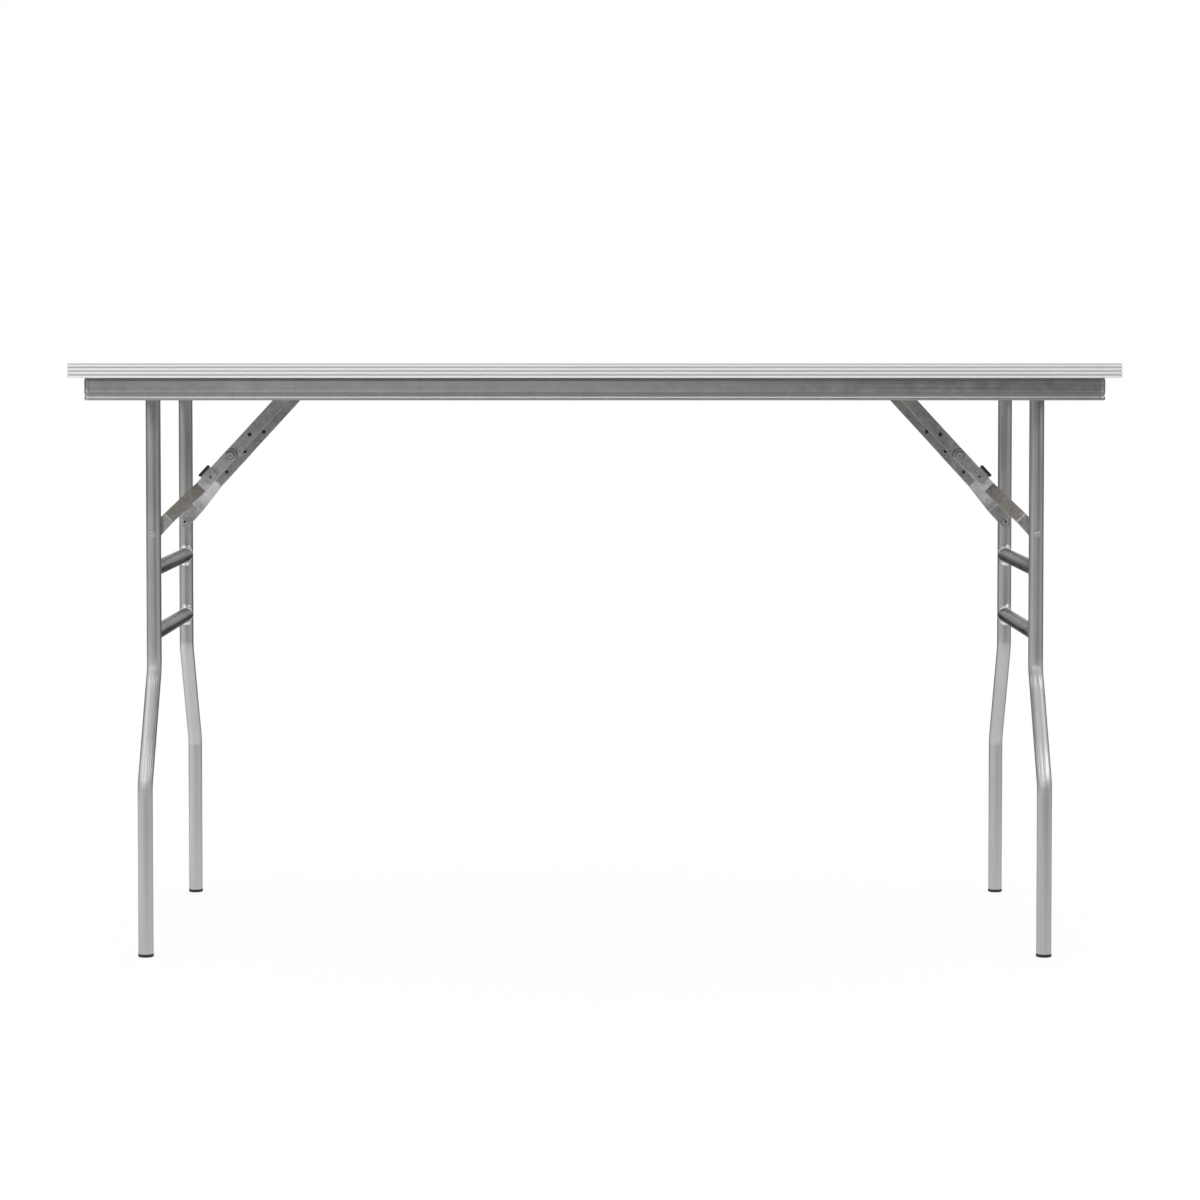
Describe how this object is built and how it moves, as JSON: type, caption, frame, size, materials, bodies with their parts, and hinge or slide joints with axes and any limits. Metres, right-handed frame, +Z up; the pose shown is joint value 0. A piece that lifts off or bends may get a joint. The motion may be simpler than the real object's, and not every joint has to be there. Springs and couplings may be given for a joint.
{
  "type": "folding trestle table",
  "caption": "Folding table with ribbed aluminium edging, steel apron and cranked tube leg frames that fold under the top on hinged struts",
  "frame": {"origin": "on the floor below the middle of the top", "axes": "+X along the long side, +Y from the front to the rear, +Z up"},
  "size_m": [1.31, 0.61, 0.75],
  "materials": {
    "laminate": "fine matt laminate",
    "plywood": "sealed plywood",
    "edging_aluminium": "satin extrusion",
    "apron_steel": "galvanised, dull",
    "leg_steel": "drawn tube, satin",
    "strut_steel": "plated flat bar",
    "fastener_steel": "plated",
    "black_plastic": "moulded, satin",
    "black_rubber": "moulded, matt"
  },
  "bodies": {
    "table_top": {"apron_front": "apron_steel", "apron_left": "apron_steel", "apron_rear": "apron_steel", "apron_right": "apron_steel", "apron_screws": "fastener_steel", "bracket_screws": "fastener_steel", "edging_front": "edging_aluminium", "edging_left": "edging_aluminium", "edging_rear": "edging_aluminium", "edging_right": "edging_aluminium", "left_hinge_strap_front": "strut_steel", "left_hinge_strap_rear": "strut_steel", "left_strut_bracket_front": "strut_steel", "left_strut_bracket_rear": "strut_steel", "right_hinge_strap_front": "strut_steel", "right_hinge_strap_rear": "strut_steel", "right_strut_bracket_front": "strut_steel", "right_strut_bracket_rear": "strut_steel", "strap_screws": "fastener_steel", "top_laminate": "laminate", "top_panel": "plywood"},
    "left_leg_frame": {"left_leg_front": "leg_steel", "left_foot_cap_front": "black_rubber", "left_leg_rear": "leg_steel", "left_foot_cap_rear": "black_rubber", "left_pivot_bar": "leg_steel", "left_upper_crossbar": "leg_steel", "left_lower_crossbar": "leg_steel", "left_strut_rivets": "fastener_steel"},
    "left_upper_links": {"left_upper_link_front": "strut_steel", "left_upper_link_rear": "strut_steel", "left_strut_rod": "strut_steel", "left_knuckle_heads": "fastener_steel"},
    "left_lower_links": {"left_lower_link_front": "strut_steel", "left_lower_link_rear": "strut_steel", "left_link_rivets": "fastener_steel"},
    "left_front_latch": {"left_latch_lever_front": "strut_steel", "left_latch_grip_front": "black_plastic"},
    "left_rear_latch": {"left_latch_lever_rear": "strut_steel", "left_latch_grip_rear": "black_plastic"},
    "right_leg_frame": {"right_leg_front": "leg_steel", "right_foot_cap_front": "black_rubber", "right_leg_rear": "leg_steel", "right_foot_cap_rear": "black_rubber", "right_pivot_bar": "leg_steel", "right_upper_crossbar": "leg_steel", "right_lower_crossbar": "leg_steel", "right_strut_rivets": "fastener_steel"},
    "right_upper_links": {"right_upper_link_front": "strut_steel", "right_upper_link_rear": "strut_steel", "right_strut_rod": "strut_steel", "right_knuckle_heads": "fastener_steel"},
    "right_lower_links": {"right_lower_link_front": "strut_steel", "right_lower_link_rear": "strut_steel", "right_link_rivets": "fastener_steel"},
    "right_front_latch": {"right_latch_lever_front": "strut_steel", "right_latch_grip_front": "black_plastic"},
    "right_rear_latch": {"right_latch_lever_rear": "strut_steel", "right_latch_grip_rear": "black_plastic"}
  },
  "joints": [
    {"name": "left_leg_fold", "type": "hinge", "parent": "table_top", "child": "left_leg_frame", "pos_m": [-0.568, 0, 0.718], "axis": [0, -1, 0], "range_deg": [0, 90]},
    {"name": "left_upper_links_swing", "type": "hinge", "parent": "table_top", "child": "left_upper_links", "pos_m": [-0.396, 0, 0.718], "axis": [0, 1, 0], "range_deg": [0, 47.36]},
    {"name": "left_lower_links_swing", "type": "hinge", "parent": "left_leg_frame", "child": "left_lower_links", "pos_m": [-0.568, 0, 0.5313], "axis": [0, -1, 0], "range_deg": [0, 42.66]},
    {"name": "left_front_latch_lift", "type": "hinge", "parent": "left_lower_links", "child": "left_front_latch", "pos_m": [-0.50277, -0.0929, 0.60211], "axis": [0, 1, 0], "range_deg": [0, 20]},
    {"name": "left_rear_latch_lift", "type": "hinge", "parent": "left_lower_links", "child": "left_rear_latch", "pos_m": [-0.50277, 0.0929, 0.60211], "axis": [0, 1, 0], "range_deg": [0, 20]},
    {"name": "right_leg_fold", "type": "hinge", "parent": "table_top", "child": "right_leg_frame", "pos_m": [0.568, 0, 0.718], "axis": [0, 1, 0], "range_deg": [0, 87]},
    {"name": "right_upper_links_swing", "type": "hinge", "parent": "table_top", "child": "right_upper_links", "pos_m": [0.396, 0, 0.718], "axis": [0, -1, 0], "range_deg": [0, 46.7]},
    {"name": "right_lower_links_swing", "type": "hinge", "parent": "right_leg_frame", "child": "right_lower_links", "pos_m": [0.568, 0, 0.5313], "axis": [0, 1, 0], "range_deg": [0, 42.07]},
    {"name": "right_front_latch_lift", "type": "hinge", "parent": "right_lower_links", "child": "right_front_latch", "pos_m": [0.50277, -0.0929, 0.60211], "axis": [0, -1, 0], "range_deg": [0, 20]},
    {"name": "right_rear_latch_lift", "type": "hinge", "parent": "right_lower_links", "child": "right_rear_latch", "pos_m": [0.50277, 0.0929, 0.60211], "axis": [0, -1, 0], "range_deg": [0, 20]}
  ],
  "couplings": [
    {"joint": "left_upper_links_swing", "follows": "left_leg_fold", "ratio": 0.52607},
    {"joint": "left_lower_links_swing", "follows": "left_leg_fold", "ratio": 0.47392},
    {"joint": "right_upper_links_swing", "follows": "right_leg_fold", "ratio": 0.53672},
    {"joint": "right_lower_links_swing", "follows": "right_leg_fold", "ratio": 0.48348}
  ]
}
